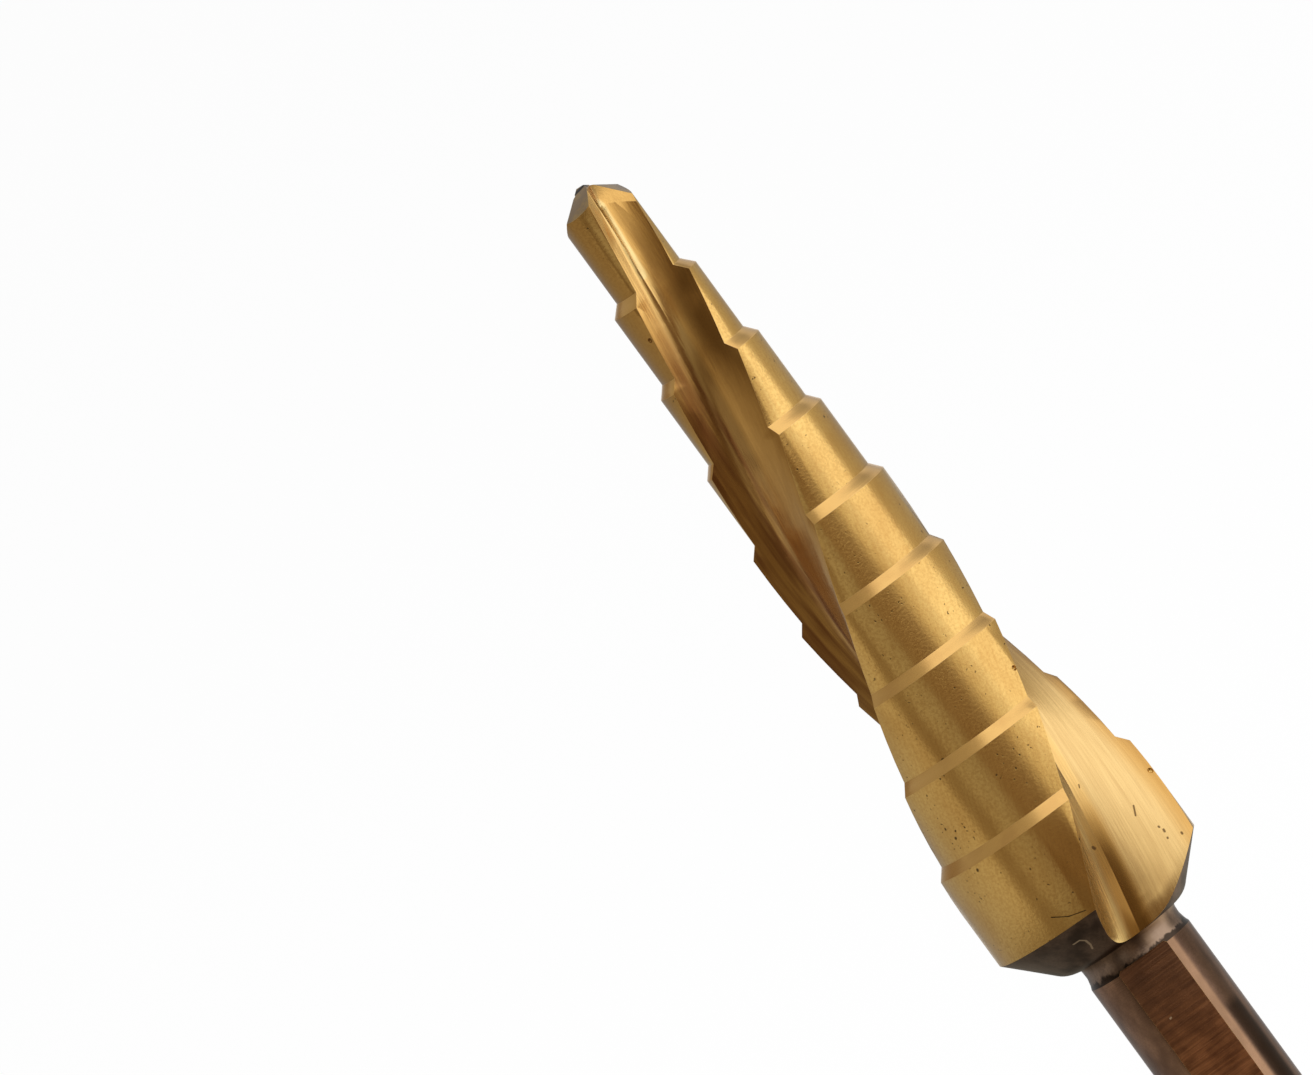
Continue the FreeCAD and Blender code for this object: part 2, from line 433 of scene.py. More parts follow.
    def strip(
        self, space: bpy.types.NodeSocket, strip: Strip, both: bool = False
    ) -> bpy.types.NodeSocket:
        """Mask a strip along the drill.

        Args:
            space: The straight or the twisted coordinates.
            strip: The strip's angles.
            both: Whether the strip across the axis is masked as well.

        Returns:
            The mask, from 0 to 1.
        """
        edge = tuple(math.cos(math.radians(angle)) for angle in (strip.gone, strip.full))
        return self.fade(self.across(space, strip.middle, self.radius, both), edge)

    def worn(self, marks: tuple[Mark, ...], under: Any = 0.0) -> bpy.types.NodeSocket:
        """Mask a number of marks.

        Args:
            marks: The marks, each a thin line.
            under: A mask that they are laid over.

        Returns:
            The mask, from 0 to 1.
        """
        total = under
        for mark in marks:
            start, run = Vector(mark.start), Vector(mark.end) - Vector(mark.start)
            offset = self.add(
                "ShaderNodeVectorMath",
                {"operation": "SUBTRACT"},
                {0: self.straight, 1: tuple(start)},
            )
            along = self.add(
                "ShaderNodeVectorMath",
                {"operation": "DOT_PRODUCT"},
                {0: offset.outputs[0], 1: tuple(run / run.length_squared)},
            )
            # The clamp keeps the nearest place between the mark's two ends.
            share = self.add(
                "ShaderNodeMath",
                {"operation": "MULTIPLY", "use_clamp": True},
                {0: along.outputs["Value"], 1: 1.0},
            )
            nearest = self.add(
                "ShaderNodeVectorMath",
                {"operation": "SCALE"},
                {0: tuple(run), "Scale": share.outputs[0]},
            )
            gap = self.add(
                "ShaderNodeVectorMath",
                {"operation": "DISTANCE"},
                {0: offset.outputs[0], 1: nearest.outputs[0]},
            )
            spot = self.fade(gap.outputs["Value"], (mark.width, mark.width * MARK_CORE))
            larger = self.add("ShaderNodeMath", {"operation": "MAXIMUM"}, {0: total, 1: spot})
            total = larger.outputs[0]
        return total

    def stain(self, under: Any, over: Any, *masks: Any) -> bpy.types.NodeSocket:
        """Lay one colour over another where all the masks show.

        Args:
            under: The lower colour, as sRGB hex or a socket.
            over: The upper colour, as sRGB hex or a socket.
            masks: The masks and plain shares of the upper colour.

        Returns:
            The mixed colour.
        """
        lower, upper = (
            to_linear(colour) if isinstance(colour, str) else colour for colour in (under, over)
        )
        mixed = self.add(
            "ShaderNodeMix",
            {"data_type": "RGBA"},
            {"Factor": self.overlap(*masks), 6: lower, 7: upper},
        )
        return mixed.outputs[2]

    def close(self, colour: Any, roughness: Any, relief: Any, depth: float) -> bpy.types.Material:
        """Join the patterns to the metal's shader.

        Args:
            colour: The metal's colour.
            roughness: The metal's roughness.
            relief: The height pattern, as a multiple of the depth.
            depth: The height of the relief, in millimetres.

        Returns:
            The finished material.
        """
        bump = self.add(
            "ShaderNodeBump", inputs={"Height": relief, "Strength": 1.0, "Distance": depth * MM}
        )
        shader = self.add(
            "ShaderNodeBsdfPrincipled",
            inputs={
                "Base Color": colour,
                "Metallic": 1.0,
                "Roughness": roughness,
                "Normal": bump.outputs[0],
            },
        )
        self.add("ShaderNodeOutputMaterial", inputs={"Surface": shader.outputs[0]})
        return self.material


@dataclass(frozen=True)
class GoldLand:
    """Titanium nitride on cylindrical ground steel: satin gold with a fine speckle and small pits,
    and painted shade in a strip down one side towards the point.
    """

    gold: str = "E4BC72"
    bronze: str = "BC8A46"
    dull: str = "A0743A"
    pit: str = "3A240E"
    roughness: float = 0.2
    speckle_roughness: float = 0.06
    relief: float = 0.0016
    pit_depth: float = -4.0
    streak_depth: float = 0.5
    clouds: Grain = Grain((3.2, 3.2, 5.0), 0.42, 0.72, 3.0)
    cloud_share: float = 0.35
    speckles: Grain = Grain((0.14, 0.14, 0.14), 0.35, 0.7, 11.0, 2.0)
    speckle_share: float = 0.3
    streaks: Grain = Grain((0.16, 0.16, 5.0), 0.35, 0.7, 23.0)
    streak_share: float = 0.18
    # Painted shade: the dull colour laid in a strip down one side of the lands, from 46 mm and full
    # from 55 mm towards the point.
    shaded: Strip = Strip(-65, 25, 45)
    shaded_rise: tuple[float, float] = (46.0, 55.0)
    shaded_share: float = 0.75
    dots: Grain = Grain((0.2, 0.2, 0.2), 0.70, 0.75, 31.0, 1.0)
    dotted: Grain = Grain((2.4, 2.4, 2.4), 0.48, 0.60, 37.0, 1.0)
    pit_share: float = 0.85
    marks: tuple[Mark, ...] = (
        Mark((-2.17, -4.52, 31.50), (-2.20, -4.50, 31.56), 0.16),
        Mark((-2.46, -5.47, 22.13), (-1.75, -5.73, 21.69), 0.045),
        Mark((-1.75, -5.73, 21.69), (-0.89, -5.93, 21.45), 0.045),
        Mark((-4.00, -3.77, 27.98), (-3.98, -3.80, 28.00), 0.10),
        Mark((-3.80, -3.98, 28.30), (-3.78, -4.00, 28.32), 0.07),
        Mark((-4.15, -3.62, 28.62), (-4.14, -3.63, 28.66), 0.08),
        Mark((-4.06, -4.42, 26.10), (-4.04, -4.44, 26.14), 0.10),
        Mark((-4.30, -4.18, 26.42), (-4.28, -4.20, 26.44), 0.07),
        Mark((5.29, -1.43, 21.50), (5.28, -1.46, 21.60), 0.09),
    )

    def make(self, sizes: DrillSizes) -> bpy.types.Material:
        """Build the material.

        Args:
            sizes: The drill's sizes.

        Returns:
            The finished material.
        """
        finish = Finish("titanium_nitride_ground_land", sizes)
        clouds = finish.grain(finish.straight, self.clouds)
        speckles = finish.grain(finish.straight, self.speckles)
        streaks = finish.grain(finish.twisted, self.streaks)
        shaded = finish.strip(finish.straight, self.shaded)
        rise = finish.fade(finish.height, self.shaded_rise)
        dots = finish.grain(finish.straight, self.dots)
        dotted = finish.grain(finish.straight, self.dotted)
        pits = finish.worn(self.marks, finish.overlap(dots, dotted))
        colour = finish.stain(self.gold, self.bronze, clouds, self.cloud_share)
        colour = finish.stain(colour, self.bronze, speckles, self.speckle_share)
        colour = finish.stain(colour, self.bronze, streaks, self.streak_share)
        # Painted shade down one side of the lands towards the point.
        colour = finish.stain(colour, self.dull, shaded, rise, self.shaded_share)
        colour = finish.stain(colour, self.pit, pits, self.pit_share)
        height = finish.weigh(speckles, (pits, self.pit_depth), (streaks, self.streak_depth))
        rough = finish.weigh(self.roughness, (speckles, self.speckle_roughness))
        return finish.close(colour, rough, height, self.relief)


@dataclass(frozen=True)
class GoldShoulder:
    """Titanium nitride on a fine-ground cone: an even tan gold with rings round the drill."""

    gold: str = "E6B870"
    dull: str = "CC9C5E"
    roughness: float = 0.24
    relief: float = 0.0012
    rings: Grain = Grain((4.0, 4.0, 0.05), 0.35, 0.65, 5.0)
    clouds: Grain = Grain((1.6, 1.6, 1.6), 0.4, 0.7, 7.0)
    cloud_share: float = 0.4

    def make(self, sizes: DrillSizes) -> bpy.types.Material:
        """Build the material.

        Args:
            sizes: The drill's sizes.

        Returns:
            The finished material.
        """
        finish = Finish("titanium_nitride_ground_shoulder", sizes)
        rings = finish.grain(finish.straight, self.rings)
        clouds = finish.grain(finish.straight, self.clouds)
        colour = finish.stain(self.gold, self.dull, clouds, self.cloud_share)
        return finish.close(colour, self.roughness, rings, self.relief)


@dataclass(frozen=True)
class Bow:
    """A soft hollow or bulge across the heel's wall, as the round wheel leaves it.

    It is level at a share of the radius, and its depth in millimetres is above 0 for a hollow and
    below 0 for a bulge. The fade gives the heights where it begins and where it is full.
    """

    level: float
    depth: float
    fade: tuple[float, float]


@dataclass(frozen=True)
class GoldFlute:
    """Titanium nitride in a hollow, wheel-ground flute: gold, browned by heat along the middle.

    The paler patches and the creases are painted light, and the darker patches painted shade: they
    are paler or darker where the render's light would otherwise come out too orange, too dark or too
    bright beside the photograph's. The wall turn is the azimuth that the heel's wall lies towards, in
    degrees from the rake wall.
    """

    gold: str = "E4B468"
    # Painted light: the pale colour laid along the creases near the point, where shade falls.
    pale: str = "F2D898"
    brown: str = "9E7038"
    burnt: str = "7A4228"
    pit: str = "4A2E14"
    roughness: float = 0.25
    relief: float = 0.0025
    lines: Grain = Grain((0.08, 0.08, 9.0), 0.3, 0.7, 2.0)
    line_share: float = 0.18
    bands: Grain = Grain((0.35, 0.35, 14.0), 0.4, 0.65, 13.0)
    band_share: float = 0.16
    warmed: tuple[tuple[float, float], ...] = ((31.0, 38.0), (58.5, 52.0))
    warmed_share: float = 0.22
    burns: Grain = Grain((0.5, 0.5, 7.0), 0.3, 0.65, 19.0)
    burnt_strip: Strip = Strip(6, 14, 26)
    burnt_share: float = 0.7
    # Painted light in the paler patches and painted shade in the darker ones, laid on both flutes.
    patches: tuple[Patch, ...] = (
        Patch("F0C882", 0.8, Strip(30, 9, 24), ((23.0, 27.0),)),
        Patch("E6C486", 0.9, Strip(63, 15, 24), ((37.0, 30.0),)),
        Patch("9E7038", 0.4, Strip(99, 11, 19), ((37.0, 30.0),)),
        Patch("F2D898", 0.9, Strip(5, 12, 19), ((28.0, 24.0),)),
        Patch("6E4A1C", 0.6, Strip(32, 10, 28), ((46.5, 50.5), (57.5, 53.5))),
        Patch("6E4A1C", 0.6, Strip(92, 10, 38), ((50.0, 56.0), (64.0, 60.5))),
        Patch("6E4A1C", 0.8, Strip(28, 7, 18), ((26.5, 22.0),)),
    )
    # Painted light along the two creases near the point, where the walls meet and shade falls.
    creases: tuple[Mark, ...] = (
        Mark((0.35, -0.63, 64.00), (-0.07, -1.05, 59.66), 0.3),
        Mark((-0.35, 0.63, 64.00), (0.07, 1.05, 59.66), 0.3),
    )
    crease_share: float = 0.85
    wall_turn: float = 119.7
    bows: tuple[Bow, ...] = (Bow(0.55, 0.9, (54.0, 60.5)), Bow(0.8, -1.4, (37.0, 29.0)))
    marks: tuple[Mark, ...] = (
        Mark((1.29, -2.94, 23.42), (1.26, -2.96, 23.50), 0.12),
        Mark((0.95, -3.31, 24.26), (0.93, -3.32, 24.30), 0.09),
        Mark((4.12, -1.22, 23.85), (3.91, -1.46, 23.41), 0.07),
        Mark((4.51, -1.47, 22.29), (4.52, -1.48, 22.25), 0.08),
        Mark((4.62, -1.50, 22.02), (4.61, -1.54, 21.92), 0.09),
        Mark((4.55, -1.67, 21.60), (4.54, -1.68, 21.57), 0.08),
        Mark((5.26, -1.46, 21.37), (5.25, -1.47, 21.30), 0.09),
        Mark((2.53, -1.87, 26.36), (2.47, -1.93, 26.23), 0.06),
    )
    mark_share: float = 0.8

    def make(self, sizes: DrillSizes) -> bpy.types.Material:
        """Build the material.

        Args:
            sizes: The drill's sizes.

        Returns:
            The finished material.
        """
        finish = Finish("titanium_nitride_ground_flute", sizes)
        lines = finish.grain(finish.twisted, self.lines)
        bands = finish.grain(finish.twisted, self.bands)
        burns = finish.grain(finish.twisted, self.burns)
        warmed = finish.fade(finish.height, *self.warmed)
        colour: Any = self.gold
        # Lay the painted light and painted shade, patch by patch.
        for patch in self.patches:
            strip = self.strip(finish, sizes, patch.strip)
            fades = finish.fade(finish.height, *patch.fades)
            colour = finish.stain(colour, patch.colour, strip, fades, patch.share)
        # Painted light: the pale colour along the creases near the point.
        creases = finish.worn(self.creases)
        colour = finish.stain(colour, self.pale, creases, self.crease_share)
        colour = finish.stain(colour, self.brown, warmed, self.warmed_share)
        colour = finish.stain(colour, self.brown, bands, self.band_share)
        colour = finish.stain(colour, self.brown, lines, self.line_share)
        burnt = self.strip(finish, sizes, self.burnt_strip)
        colour = finish.stain(colour, self.burnt, burnt, warmed, burns, self.burnt_share)
        colour = finish.stain(colour, self.pit, finish.worn(self.marks), self.mark_share)
        bows = [(self.bow(finish, sizes, bow), bow.depth / self.relief) for bow in self.bows]
        return finish.close(colour, self.roughness, finish.weigh(lines, *bows), self.relief)

    def strip(self, finish: Finish, sizes: DrillSizes, strip: Strip) -> bpy.types.NodeSocket:
        """Mask a strip of both flutes whose middle counts from the rake wall."""
        placed = Strip(sizes.rake_azimuth + strip.middle, strip.full, strip.gone)
        return finish.strip(finish.twisted, placed, both=True)

    def bow(self, finish: Finish, sizes: DrillSizes, bow: Bow) -> bpy.types.NodeSocket:
        """Shape one bow across the heel's wall.

        Args:
            finish: The material that takes the relief.
            sizes: The drill's sizes.
            bow: The bow.

        Returns:
            The bow's relief, for a depth of 1.
        """
        outline = finish.weigh(sizes.taper_base, (finish.height, -sizes.taper))
        azimuth = sizes.rake_azimuth + self.wall_turn
        share = finish.across(finish.twisted, azimuth, outline, both=True)
        offset = finish.weigh(share, (1.0, -bow.level))
        return finish.overlap(offset, offset, finish.fade(finish.height, bow.fade))


@dataclass(frozen=True)
class WornPoint:
    """The ground point, its coating worn thin: grey-tan steel, black along the chisel edge."""

    gold: str = "B4986C"
    steel: str = "A08A70"
    black: str = "1E1612"
    roughness: float = 0.32
    relief: float = 0.0015
    scratches: Grain = Grain((0.06, 1.2, 0.06), 0.3, 0.7, 4.0)
    bare: Grain = Grain((0.9, 0.9, 0.9), 0.4, 0.6, 8.0)

    def make(self, sizes: DrillSizes) -> bpy.types.Material:
        """Build the material.

        Args:
            sizes: The drill's sizes.

        Returns:
            The finished material.
        """
        finish = Finish("worn_titanium_nitride_point", sizes)
        scratches = finish.grain(finish.straight, self.scratches)
        colour = finish.stain(self.gold, self.steel, finish.grain(finish.straight, self.bare))
        colour = finish.stain(colour, self.black, finish.worn(CHISEL_WEAR))
        return finish.close(colour, self.roughness, scratches, self.relief)


@dataclass(frozen=True)
class OxidisedSteel:
    """Heat-darkened steel: brown-grey oxide with a satin sheen and turning rings."""

    name: str = "oxidised_steel"
    light: str = "95745E"
    dark: str = "6E5444"
    roughness: float = 0.28
    relief: float = 0.0015
    rings: Grain = Grain((5.0, 5.0, 0.07), 0.3, 0.7, 6.0)
    clouds: Grain = Grain((1.4, 1.4, 2.6), 0.35, 0.7, 9.0)
    speckles: Grain = Grain((0.12, 0.12, 0.12), 0.35, 0.7, 15.0, 2.0)
    speckle_share: float = 0.35
    speckle_depth: float = 0.6

    def oxide(self, finish: Finish) -> tuple[bpy.types.NodeSocket, bpy.types.NodeSocket]:
        """Draw the clouded oxide over the turning rings.

        Args:
            finish: The material that takes the patterns.

        Returns:
            The colour and the relief.
        """
        rings = finish.grain(finish.straight, self.rings)
        clouds = finish.grain(finish.straight, self.clouds)
        speckles = finish.grain(finish.straight, self.speckles)
        colour = finish.stain(self.light, self.dark, clouds)
        colour = finish.stain(colour, self.dark, speckles, self.speckle_share)
        return colour, finish.weigh(rings, (speckles, self.speckle_depth))


@dataclass(frozen=True)
class RearCone(OxidisedSteel):
    """The turned cone behind the body: dull, nearly black oxide with a painted highlight, one pale
    curve and one small spot.
    """

    name: str = "oxidised_steel_rear_cone"
    light: str = "7E6C60"
    dark: str = "4C4038"
    # Painted highlight: a pale glint in one curve and one small spot on the cone.
    rubbed: str = "D8C4AC"
    glint_share: float = 0.8
    roughness: float = 0.36
    marks: tuple[Mark, ...] = (
        Mark((-2.37, -4.55, 20.31), (-2.01, -4.71, 20.31), 0.07),
        Mark((-2.01, -4.71, 20.31), (-1.77, -4.61, 20.12), 0.07),
        Mark((-1.77, -4.61, 20.12), (-1.69, -4.29, 19.79), 0.08),
        Mark((-1.69, -4.29, 19.79), (-1.73, -4.02, 19.54), 0.07),
        Mark((3.97, -2.19, 20.52), (3.95, -2.21, 20.60), 0.08),
    )

    def make(self, sizes: DrillSizes) -> bpy.types.Material:
        """Build the material.

        Args:
            sizes: The drill's sizes.

        Returns:
            The finished material.
        """
        finish = Finish(self.name, sizes)
        colour, height = self.oxide(finish)
        # Painted highlight: the pale glints on the cone.
        glints = finish.worn(self.marks)
        colour = finish.stain(colour, self.rubbed, glints, self.glint_share)
        return finish.close(colour, self.roughness, height, self.relief)


@dataclass(frozen=True)
class Neck(OxidisedSteel):
    """The relieved neck: brown oxide with a painted highlight down one side and a ragged painted
    shadow under the shank's lip.
    """

    name: str = "oxidised_steel_neck"
    light: str = "8E7868"
    dark: str = "54463E"
    # Painted highlight: a paler strip down one side of the neck.
    polished: str = "B89C84"
    highlight_strip: Strip = Strip(30, 10, 24)
    highlight_share: float = 0.6
    # Painted shadow: a ragged dark line under the shank's lip.
    painted_shadow: str = "1C1512"
    painted_shadow_share: float = 0.85
    painted_shadow_start: float = 0.2
    painted_shadow_full: float = 0.02
    ragged: Grain = Grain((0.6, 0.6, 0.9), 0.3, 0.7, 27.0)
    raggedness: float = 0.35
    roughness: float = 0.3

    def make(self, sizes: DrillSizes) -> bpy.types.Material:
        """Build the material.

        Args:
            sizes: The drill's sizes.

        Returns:
            The finished material.
        """
        finish = Finish(self.name, sizes)
        colour, height = self.oxide(finish)
        ragged = finish.grain(finish.straight, self.ragged)
        level = finish.weigh(finish.height, (ragged, -self.raggedness))
        lip = sizes.shank_length
        # Painted shadow under the shank's lip, with a ragged edge.
        painted_shadow = finish.fade(level, (lip + self.painted_shadow_start, lip + self.painted_shadow_full))
        # Painted highlight down one side of the neck.
        bright = finish.strip(finish.straight, self.highlight_strip)
        colour = finish.stain(colour, self.polished, bright, self.highlight_share)
        colour = finish.stain(colour, self.painted_shadow, painted_shadow, self.painted_shadow_share)
        return finish.close(colour, self.roughness, height, self.relief)


@dataclass(frozen=True)
class Shank(OxidisedSteel):
    """The round shank: brown oxide, with a painted highlight down one side and painted shade beside
    that strip, darker still below about 13 mm, where the shank's printed field lies without its
    letters.
    """

    name: str = "oxidised_steel_shank"
    # Painted highlight: a paler strip down one side of the shank.
    polished: str = "B08A68"
    highlight_strip: Strip = Strip(30, 6, 11)
    highlight_share: float = 0.4
    # Painted shade in a strip beside the painted highlight, darker still below about 13 mm, where it
    # also stands for the printed field.
    darker_tone: str = "2C2018"
    darker_tone_strip: Strip = Strip(52, 8, 16)
    darker_tone_share: float = 0.5
    darker_tone_drop: tuple[float, float] = (13.6, 12.8)
    darker_tone_more: float = 0.4
    roughness: float = 0.26

    def make(self, sizes: DrillSizes) -> bpy.types.Material:
        """Build the material.

        Args:
            sizes: The drill's sizes.

        Returns:
            The finished material.
        """
        finish = Finish(self.name, sizes)
        colour, height = self.oxide(finish)
        # Painted highlight down one side of the shank.
        bright = finish.strip(finish.straight, self.highlight_strip)
        colour = finish.stain(colour, self.polished, bright, self.highlight_share)
        # Painted shade beside the highlight, and below about 13 mm the printed field as well.
        low = finish.fade(finish.height, self.darker_tone_drop)
        share = finish.weigh(self.darker_tone_share, (low, self.darker_tone_more))
        darker_tone = finish.strip(finish.straight, self.darker_tone_strip)
        colour = finish.stain(colour, self.darker_tone, darker_tone, share)
        return finish.close(colour, self.roughness, height, self.relief)


@dataclass(frozen=True)
class GroundFlat:
    """A surface-ground flat of heat-darkened steel, with fine lines straight across it."""

    light: str = "D0946A"
    dark: str = "7A523A"
    # Darker towards the neck.
    darker_tone: str = "645044"
    darker_tone_rise: tuple[float, float] = (10.5, 17.0)
    darker_tone_share: float = 0.6
    bright: str = "F0DCC4"
    roughness: float = 0.32
    relief: float = 0.004
    lines: Grain = Grain((3.0, 3.0, 0.06), 0.3, 0.7, 12.0)
    line_share: float = 0.45
    bands: Grain = Grain((3.0, 3.0, 0.22), 0.35, 0.65, 17.0)
    band_weight: float = 0.9
    clouds: Grain = Grain((1.2, 1.2, 1.5), 0.3, 0.7, 29.0)
    cloud_share: float = 0.5
    marks: tuple[Mark, ...] = (Mark((-0.65, -2.62, 14.29), (-0.60, -2.62, 14.31), 0.07),)

    def make(self, sizes: DrillSizes) -> bpy.types.Material:
        """Build the material.

        Args:
            sizes: The drill's sizes.

        Returns:
            The finished material.
        """
        finish = Finish("oxidised_steel_ground_flat", sizes)
        lines = finish.grain(finish.straight, self.lines)
        bands = finish.grain(finish.straight, self.bands)
        clouds = finish.grain(finish.straight, self.clouds)
        stains = finish.weigh(clouds, (bands, self.band_weight))
        rise = finish.fade(finish.height, self.darker_tone_rise)
        colour = finish.stain(self.light, self.dark, stains, self.cloud_share)
        colour = finish.stain(colour, self.dark, lines, self.line_share)
        # Darker towards the neck.
        colour = finish.stain(colour, self.darker_tone, rise, self.darker_tone_share)
        colour = finish.stain(colour, self.bright, finish.worn(self.marks))
        return finish.close(colour, self.roughness, lines, self.relief)


@dataclass(frozen=True)
class RubbedEdge:
    """Edges that chips and fingers have rubbed: paler gold, a little polished."""

    pale: str = "E8C68C"
    gold: str = "C99A52"
    black: str = "1E1612"
    roughness: float = 0.3
    relief: float = 0.001
    patches: Grain = Grain((0.7, 0.7, 0.7), 0.35, 0.65, 21.0)

    def make(self, sizes: DrillSizes) -> bpy.types.Material:
        """Build the material.

        Args:
            sizes: The drill's sizes.

        Returns:
            The finished material.
        """
        finish = Finish("rubbed_titanium_nitride_edge", sizes)
        patches = finish.grain(finish.straight, self.patches)
        colour = finish.stain(self.pale, self.gold, patches)
        colour = finish.stain(colour, self.black, finish.worn(CHISEL_WEAR))
        return finish.close(colour, self.roughness, patches, self.relief)


@dataclass
class CuttingTool:
    """The drill: one piece of steel, dressed zone by zone.

    Lengths are in millimetres and angles in degrees. A face counts as the point's or the rear
    cone's when its normal's height passes the slope, and as a land or a shoulder when its normal
    agrees with that surface's by the cosine in facing.
    """

    sizes: DrillSizes = field(default_factory=DrillSizes)
    weld_distance: float = 1e-4
    flatness: float = 0.4
    edge_width: float = 0.035
    edge_angle: float = 28.0
    edge_segments: int = 2
    upright_slack: float = 1e-3
    plane_slack: float = 5e-3
    radius_slack: float = 0.03
    facing: float = 0.985
    point_slope: float = 0.6
    cone_slope: float = -0.45
    nicks: tuple[Mark, ...] = (
        Mark((-1.64, -1.88, 56.79), (-1.70, -1.84, 56.95), 0.13),
        Mark((3.35, -3.71, 33.09), (3.36, -3.70, 33.16), 0.15),
        Mark((5.86, 0.14, 24.61), (5.86, 0.16, 24.72), 0.17),
    )
    nick_detail: int = 2

    def build(self) -> bpy.types.Object:
        """Model the drill over its solid and dress it.

        Returns:
            The drill's visible piece.
        """
        piece = self.copy_solid("step_drill")
        self.dress(piece)
        self.break_edges(piece)
        self.nick_edges(piece)
        return piece

    def copy_solid(self, node: str) -> bpy.types.Object:
        """Copy a solid's mesh into a new piece whose faces are joined up.

        Args:
            node: The name of the solid.

        Returns:
            The new piece.
        """
        source = frame["nodes"][node]
        piece = source.copy()
        piece.data = source.data.copy()
        piece.name = "drill_body"
        piece.data.name = "drill_body"
        piece.parent = None
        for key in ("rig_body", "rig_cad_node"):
            if key in piece:
                del piece[key]
        bpy.context.scene.collection.objects.link(piece)
        pick(piece)
        bpy.ops.mesh.customdata_custom_splitnormals_clear()
        bpy.ops.object.mode_set(mode="EDIT")
        bpy.ops.mesh.select_all(action="SELECT")
        bpy.ops.mesh.remove_doubles(threshold=self.weld_distance * MM)
        bpy.ops.mesh.dissolve_limited(angle_limit=math.radians(self.flatness))
        bpy.ops.mesh.select_all(action="DESELECT")
        bpy.ops.object.mode_set(mode="OBJECT")
        return piece

    def zone_of(self, polygon: bpy.types.MeshPolygon, corners: list[Vector]) -> Zone:
        """Tell which of the drill's surfaces a face belongs to.

        Args:
            polygon: The face.
            corners: Its corners, in millimetres.

        Returns:
            The face's zone.
        """
        sizes = self.sizes
        centre = polygon.center / MM
        normal = polygon.normal
        outward = Vector((centre.x, centre.y, 0)).normalized()
        radial = normal.dot(outward)
        if centre.z < sizes.shank_length + sizes.flat_overrun:
            reach = normal.dot(centre)
            upright = abs(normal.z) < self.upright_slack
            in_place = abs(reach - sizes.flat_distance) < self.plane_slack
            level = all(abs(normal.dot(corner) - reach) < self.plane_slack for corner in corners)
            if upright and in_place and level:
                return Zone.FLAT
            return Zone.SHANK if centre.z < sizes.shank_length else Zone.NECK
        if centre.z < sizes.neck_top:
            return Zone.NECK
        if centre.z < sizes.body_base:
            return Zone.REAR if normal.z < self.cone_slope else Zone.FLUTE
        if centre.z > sizes.point_base and normal.z > self.point_slope:
            return Zone.POINT
        radius = sizes.land_radius(centre.z)
        on_land = all(
            abs(math.hypot(corner.x, corner.y) - radius) < self.radius_slack for corner in corners
        )
        if on_land and radial > self.facing:
            return Zone.LAND
        slope = math.atan2(sizes.step_rise / 2, sizes.shoulder_length)
        ring = math.cos(slope) * radial + math.sin(slope) * normal.z
        return Zone.SHOULDER if ring > self.facing else Zone.FLUTE

    def dress(self, piece: bpy.types.Object) -> None:
        """Give each face the finish of its zone.

        Args:
            piece: The drill's visible piece.
        """
        finishes = {
            Zone.LAND: GoldLand(),
            Zone.SHOULDER: GoldShoulder(),
            Zone.FLUTE: GoldFlute(),
            Zone.POINT: WornPoint(),
            Zone.REAR: RearCone(),
            Zone.NECK: Neck(),
            Zone.SHANK: Shank(),
            Zone.FLAT: GroundFlat(),
            Zone.EDGE: RubbedEdge(),
        }
        mesh = piece.data
        mesh.materials.clear()
        for zone in Zone:
            mesh.materials.append(finishes[zone].make(self.sizes))
        counts = dict.fromkeys(Zone, 0)
        for polygon in mesh.polygons:
            corners = [mesh.vertices[index].co / MM for index in polygon.vertices]
            zone = self.zone_of(polygon, corners)
            polygon.material_index = zone
            counts[zone] += 1
        for zone, count in counts.items():
            log.info("%s: %d faces", zone.name.lower(), count)

    def break_edges(self, piece: bpy.types.Object) -> None:
        """Round the sharp edges a little and smooth the faces between them.

        Args:
            piece: The drill's visible piece.
        """
        pick(piece)
        bevel = piece.modifiers.new("broken_edges", "BEVEL")
        bevel.width = self.edge_width * MM
        bevel.segments = self.edge_segments
        bevel.limit_method = "ANGLE"
        bevel.angle_limit = math.radians(self.edge_angle)
        bevel.use_clamp_overlap = True
        bevel.material = Zone.EDGE
        bpy.ops.object.modifier_apply(modifier=bevel.name)
        bpy.ops.object.shade_smooth_by_angle(angle=math.radians(self.edge_angle))

    def nick_edges(self, piece: bpy.types.Object) -> None:
        """Cut the small nicks that chips have left in the edges.

        Args:
            piece: The drill's visible piece.
        """
        for nick in self.nicks:
            middle = (Vector(nick.start) + Vector(nick.end)) / 2 * MM
            bpy.ops.mesh.primitive_ico_sphere_add(
                subdivisions=self.nick_detail, radius=nick.width * MM, location=middle
            )
            cutter = bpy.context.object
            pick(piece)
            cut = piece.modifiers.new("nick", "BOOLEAN")
            cut.operation = "DIFFERENCE"
            cut.solver = "EXACT"
            cut.object = cutter
            bpy.ops.object.modifier_apply(modifier=cut.name)
            bpy.data.objects.remove(cutter)


class Cloth(Enum):
    """The colours of the tent's cloths."""

    WHITE = "FFFFFF"
    CREAM = "F6EEDC"
    TAN = "F2DCBC"
    BROWN = "F2CBA0"


@dataclass(frozen=True)
class Tier:
    """One ring of cloths round the drill, from its lower edge up to the next ring.

    Each cloth is an azimuth in degrees from the camera's side towards +X, a brightness and a
    colour. The light changes evenly from one cloth to the next.
    """

    bottom: float
    cloths: tuple[tuple[float, float, Cloth], ...]


